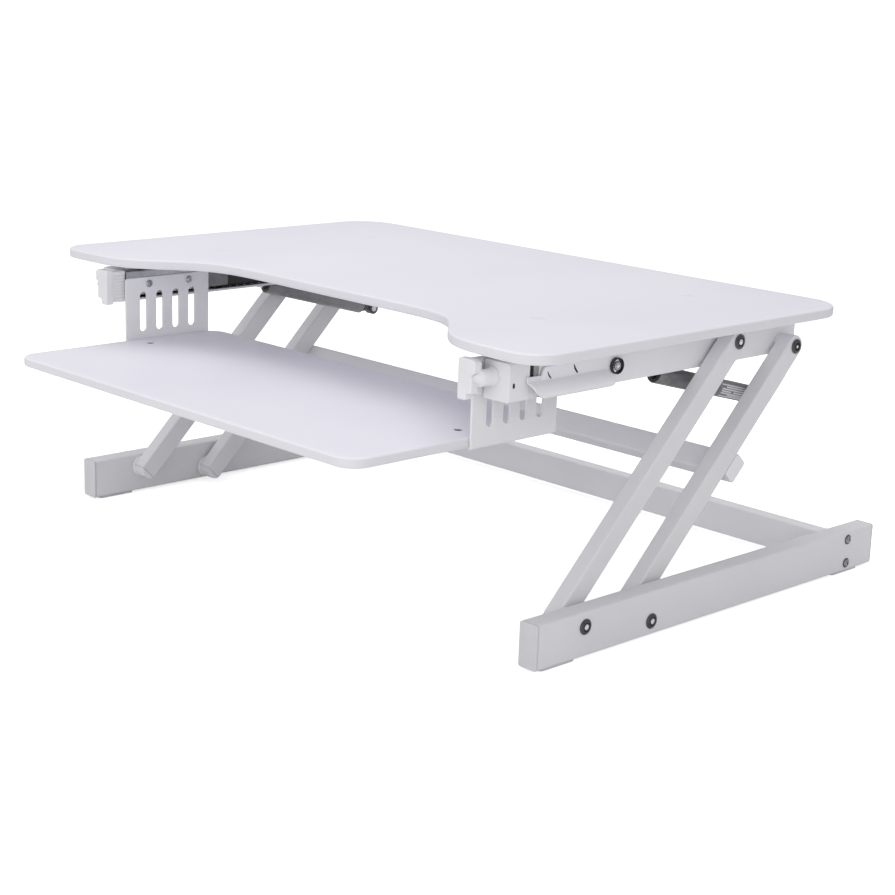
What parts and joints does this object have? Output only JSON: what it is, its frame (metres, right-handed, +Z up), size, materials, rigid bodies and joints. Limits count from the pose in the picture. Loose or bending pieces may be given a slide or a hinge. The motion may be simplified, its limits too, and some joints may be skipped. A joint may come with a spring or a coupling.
{
  "type": "standing desk converter",
  "caption": "Desk-top sit-stand riser: a worktop with a concave front on a parallelogram arm lift with gas springs, and a sliding keyboard tray below.",
  "frame": {"origin": "on the floor plane under the rubber feet, at the middle of the whole converter as seen from above", "axes": "+Z up, +Y from the user's side to the back, +X to the user's right"},
  "size_m": [0.844, 0.7556, 0.3346],
  "materials": {
    "powder_coat": "fine satin powder coat",
    "laminate": "white laminate film on board, satin",
    "white_plastic": "moulded, satin",
    "rubber": "matt",
    "dark_steel": "black-oxide, satin",
    "zinc_steel": "zinc plated",
    "chromed_rod": "hard chrome, polished",
    "spring_paint": "dark grey paint, semi-gloss",
    "black_plastic": "moulded"
  },
  "bodies": {
    "base": {"base_rail_left": "powder_coat", "base_rail_right": "powder_coat", "base_crossbar": "powder_coat", "rail_end_cap_front_left": "white_plastic", "rail_end_cap_front_right": "white_plastic", "rail_end_cap_rear_left": "white_plastic", "rail_end_cap_rear_right": "white_plastic", "foot_pad_front_left": "rubber", "foot_pad_front_right": "rubber", "foot_pad_rear_left": "rubber", "foot_pad_rear_right": "rubber", "lower_pivot_bolt_front_left": "dark_steel", "lower_pivot_bolt_front_right": "dark_steel", "lower_pivot_bolt_rear_left": "dark_steel", "lower_pivot_bolt_rear_right": "dark_steel"},
    "rear_arms": {"rear_arm_left": "powder_coat", "rear_arm_right": "powder_coat", "arm_crossbar": "powder_coat", "rear_arm_bushing_left": "white_plastic", "rear_arm_bushing_right": "white_plastic"},
    "front_arm_left": {"front_arm_left": "powder_coat", "front_arm_bushing_left": "white_plastic"},
    "front_arm_right": {"front_arm_right": "powder_coat", "front_arm_bushing_right": "white_plastic"},
    "upper_frame": {"worktop": "laminate", "upper_rail_left": "powder_coat", "upper_rail_right": "powder_coat", "upper_rail_cap_left": "white_plastic", "upper_rail_cap_right": "white_plastic", "slide_outer_left": "zinc_steel", "slide_outer_right": "zinc_steel", "upper_pivot_bolt_front_left": "dark_steel", "upper_pivot_bolt_front_right": "dark_steel", "upper_pivot_bolt_rear_left": "dark_steel", "upper_pivot_bolt_rear_right": "dark_steel", "lever_pivot_bolt_left": "dark_steel", "lever_pivot_bolt_right": "dark_steel", "tray_stop_left": "white_plastic", "tray_stop_right": "white_plastic"},
    "gas_cylinder_left": {"gas_cylinder_left": "spring_paint"},
    "gas_rod_left": {"gas_rod_left": "chromed_rod"},
    "release_lever_left": {"release_lever_left": "powder_coat"},
    "lock_rod_left": {"lock_rod_left": "zinc_steel"},
    "ball_retainer_left": {"ball_retainer_left": "black_plastic"},
    "gas_cylinder_right": {"gas_cylinder_right": "spring_paint"},
    "gas_rod_right": {"gas_rod_right": "chromed_rod"},
    "release_lever_right": {"release_lever_right": "powder_coat"},
    "lock_rod_right": {"lock_rod_right": "zinc_steel"},
    "ball_retainer_right": {"ball_retainer_right": "black_plastic"},
    "tray": {"keyboard_tray": "laminate", "tray_bracket_left": "powder_coat", "tray_bracket_right": "powder_coat", "slide_inner_left": "zinc_steel", "slide_inner_right": "zinc_steel", "tray_screw_left": "dark_steel", "tray_screw_right": "dark_steel", "bracket_screw_front_left": "dark_steel", "bracket_screw_front_right": "dark_steel", "bracket_screw_rear_left": "dark_steel", "bracket_screw_rear_right": "dark_steel"}
  },
  "joints": [
    {"name": "lift", "type": "hinge", "parent": "base", "child": "rear_arms", "pos_m": [0, -0.03675, 0.0188], "axis": [1, 0, 0], "range_deg": [-32, 22]},
    {"name": "front_arm_left_pivot", "type": "hinge", "parent": "base", "child": "front_arm_left", "pos_m": [-0.375, -0.14345, 0.0361], "axis": [1, 0, 0], "range_deg": [-32, 22]},
    {"name": "front_arm_right_pivot", "type": "hinge", "parent": "base", "child": "front_arm_right", "pos_m": [0.375, -0.14345, 0.0361], "axis": [1, 0, 0], "range_deg": [-32, 22]},
    {"name": "frame_pivot", "type": "hinge", "parent": "rear_arms", "child": "upper_frame", "pos_m": [0, 0.22922, 0.2857], "axis": [1, 0, 0], "range_deg": [-22, 32]},
    {"name": "gas_spring_left_pivot", "type": "hinge", "parent": "rear_arms", "child": "gas_cylinder_left", "pos_m": [-0.3428, 0.22029, 0.22049], "axis": [1, 0, 0], "range_deg": [-22, 32]},
    {"name": "gas_rod_left_slide", "type": "slide", "parent": "gas_cylinder_left", "child": "gas_rod_left", "axis": [0, -0.9668, 0.2554], "range_m": [-0.0352, 0.0242]},
    {"name": "gas_spring_right_pivot", "type": "hinge", "parent": "rear_arms", "child": "gas_cylinder_right", "pos_m": [0.3428, 0.22029, 0.22049], "axis": [1, 0, 0], "range_deg": [-22, 32]},
    {"name": "gas_rod_right_slide", "type": "slide", "parent": "gas_cylinder_right", "child": "gas_rod_right", "axis": [0, -0.9668, 0.2554], "range_m": [-0.0352, 0.0242]},
    {"name": "release_lever_left", "type": "hinge", "parent": "upper_frame", "child": "release_lever_left", "pos_m": [-0.3645, -0.06285, 0.2954], "axis": [-1, 0, 0], "range_deg": [0, 7], "stiffness_Nm_per_rad": 1.5, "springref_deg": -11.46},
    {"name": "lock_rod_left_slide", "type": "slide", "parent": "upper_frame", "child": "lock_rod_left", "axis": [0, 1, 0], "range_m": [0, 0.0018]},
    {"name": "release_lever_right", "type": "hinge", "parent": "upper_frame", "child": "release_lever_right", "pos_m": [0.3645, -0.06285, 0.2954], "axis": [-1, 0, 0], "range_deg": [0, 7], "stiffness_Nm_per_rad": 1.5, "springref_deg": -11.46},
    {"name": "lock_rod_right_slide", "type": "slide", "parent": "upper_frame", "child": "lock_rod_right", "axis": [0, 1, 0], "range_m": [0, 0.0018]},
    {"name": "tray_slide", "type": "slide", "parent": "upper_frame", "child": "tray", "axis": [0, 1, 0], "range_m": [0, 0.13]},
    {"name": "ball_retainer_left_slide", "type": "slide", "parent": "upper_frame", "child": "ball_retainer_left", "axis": [0, 1, 0], "range_m": [0, 0.065]},
    {"name": "ball_retainer_right_slide", "type": "slide", "parent": "upper_frame", "child": "ball_retainer_right", "axis": [0, 1, 0], "range_m": [0, 0.065]}
  ],
  "couplings": [
    {"joint": "front_arm_left_pivot", "follows": "lift", "ratio": 1},
    {"joint": "front_arm_right_pivot", "follows": "lift", "ratio": 1},
    {"joint": "frame_pivot", "follows": "lift", "ratio": -1},
    {"joint": "gas_spring_left_pivot", "follows": "lift", "ratio": -1},
    {"joint": "gas_rod_left_slide", "follows": "lift", "m_per_rad": 0.063},
    {"joint": "gas_spring_right_pivot", "follows": "lift", "ratio": -1},
    {"joint": "gas_rod_right_slide", "follows": "lift", "m_per_rad": 0.063},
    {"joint": "lock_rod_left_slide", "follows": "release_lever_left", "m_per_rad": 0.0146},
    {"joint": "lock_rod_right_slide", "follows": "release_lever_right", "m_per_rad": 0.0146},
    {"joint": "ball_retainer_left_slide", "follows": "tray_slide", "ratio": 0.5},
    {"joint": "ball_retainer_right_slide", "follows": "tray_slide", "ratio": 0.5}
  ]
}
